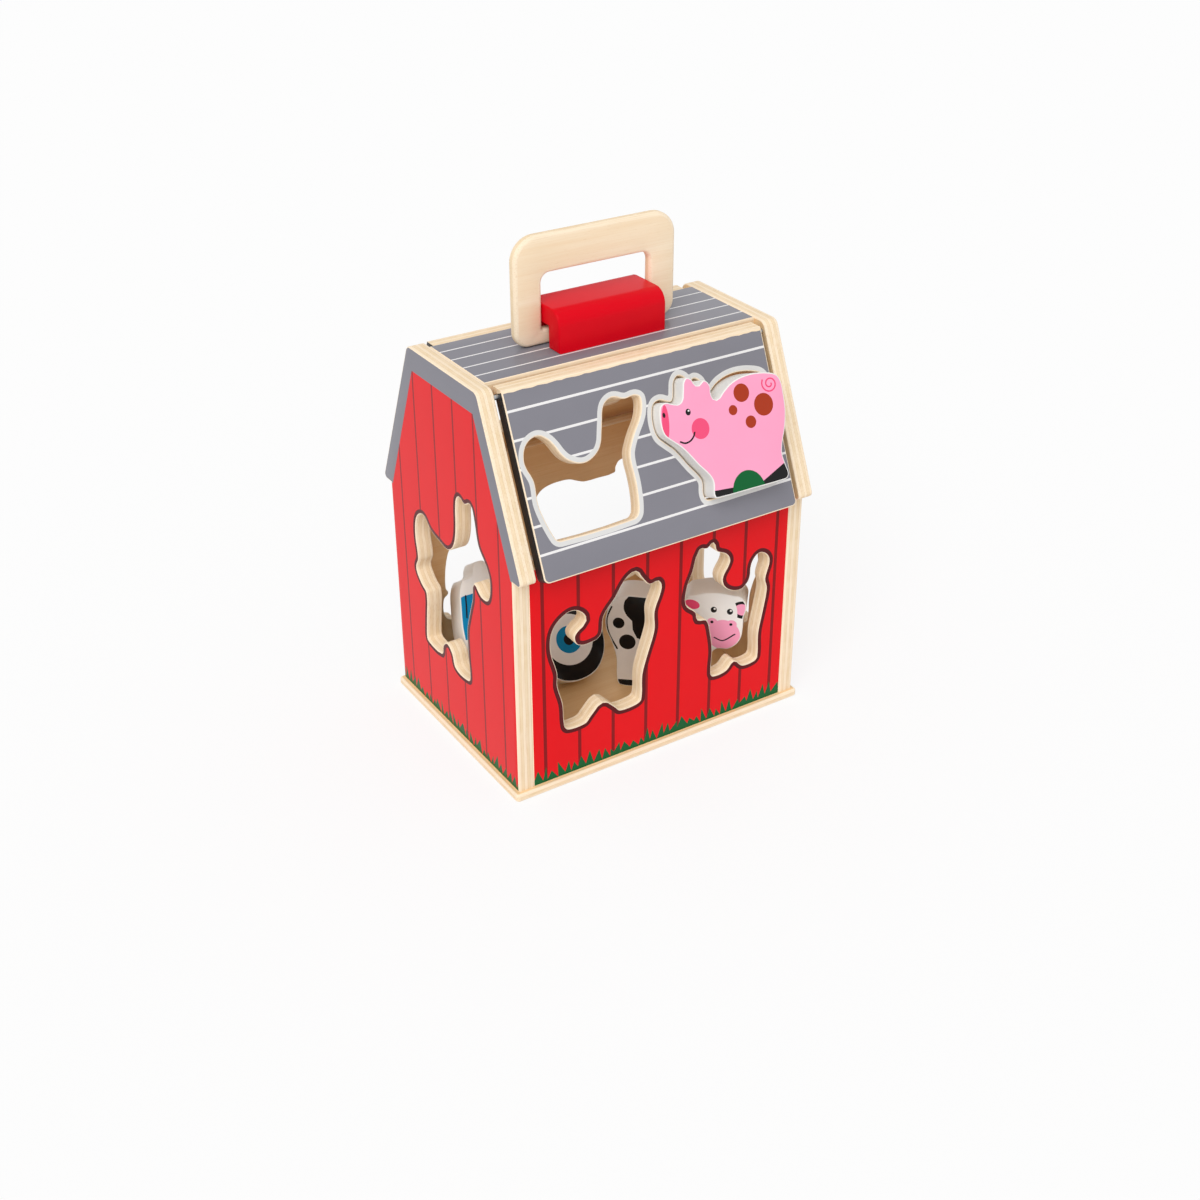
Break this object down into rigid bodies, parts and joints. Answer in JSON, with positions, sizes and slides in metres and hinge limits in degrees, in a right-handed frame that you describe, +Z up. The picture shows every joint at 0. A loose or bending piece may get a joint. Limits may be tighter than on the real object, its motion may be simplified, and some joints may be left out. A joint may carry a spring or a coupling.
{
  "type": "toy barn",
  "caption": "Plywood toy barn with hinged roof flaps, block-shaped openings in its walls and roof, a fold-down carrying handle and wooden blocks inside.",
  "frame": {"origin": "middle of the base board's underside, which rests on the table", "axes": "+X along the ridge towards the right end wall, -Y out of the front, +Z up"},
  "size_m": [0.185, 0.1604, 0.2772],
  "materials": {
    "birch_ply": "satin clear lacquer on birch plywood",
    "printed_red_ply": "gloss red print on plywood",
    "printed_grey_ply": "satin grey print on plywood",
    "red_gloss_wood": "gloss red paint on solid wood",
    "white_painted_wood": "satin white paint on solid wood",
    "beech": "bare beech",
    "steel": "zinc-plated"
  },
  "bodies": {
    "barn": {"base_board": "birch_ply", "left_end_wall": "printed_red_ply", "right_end_wall": "printed_red_ply", "front_wall": "printed_red_ply", "back_wall": "printed_red_ply", "top_panel": "printed_grey_ply", "saddle_block": "red_gloss_wood", "saddle_screws": "steel", "end_wall_screws": "steel", "side_wall_screws": "steel", "front_wall_dowels": "beech", "back_wall_dowels": "beech", "top_panel_dowels": "beech"},
    "front_flap": {"front_roof_flap": "printed_grey_ply", "front_hinge_pins": "steel"},
    "back_flap": {"back_roof_flap": "printed_grey_ply", "back_hinge_pins": "steel"},
    "handle": {"handle": "birch_ply"},
    "pig": {"pig_block": "white_painted_wood"},
    "cow": {"cow_block": "white_painted_wood"},
    "tractor": {"tractor_block": "white_painted_wood"}
  },
  "joints": [
    {"name": "front_flap_hinge", "type": "hinge", "parent": "barn", "child": "front_flap", "pos_m": [0, -0.03502, 0.21448], "axis": [-1, 0, 0], "range_deg": [0, 150]},
    {"name": "back_flap_hinge", "type": "hinge", "parent": "barn", "child": "back_flap", "pos_m": [0, 0.03502, 0.21448], "axis": [-1, 0, 0], "range_deg": [-150, 0]},
    {"name": "handle_hinge", "type": "hinge", "parent": "barn", "child": "handle", "pos_m": [0, 0.0012, 0.2242], "axis": [-1, 0, 0], "range_deg": [-90, 90]},
    {"name": "pig_push", "type": "slide", "parent": "front_flap", "child": "pig", "axis": [0, 0.9187, -0.395], "range_m": [-0.022, 0]},
    {"name": "cow_lift", "type": "slide", "parent": "barn", "child": "cow", "axis": [0, 0, 1], "range_m": [0, 0.06]},
    {"name": "tractor_lift", "type": "slide", "parent": "barn", "child": "tractor", "axis": [0, 0, 1], "range_m": [0, 0.06]}
  ]
}
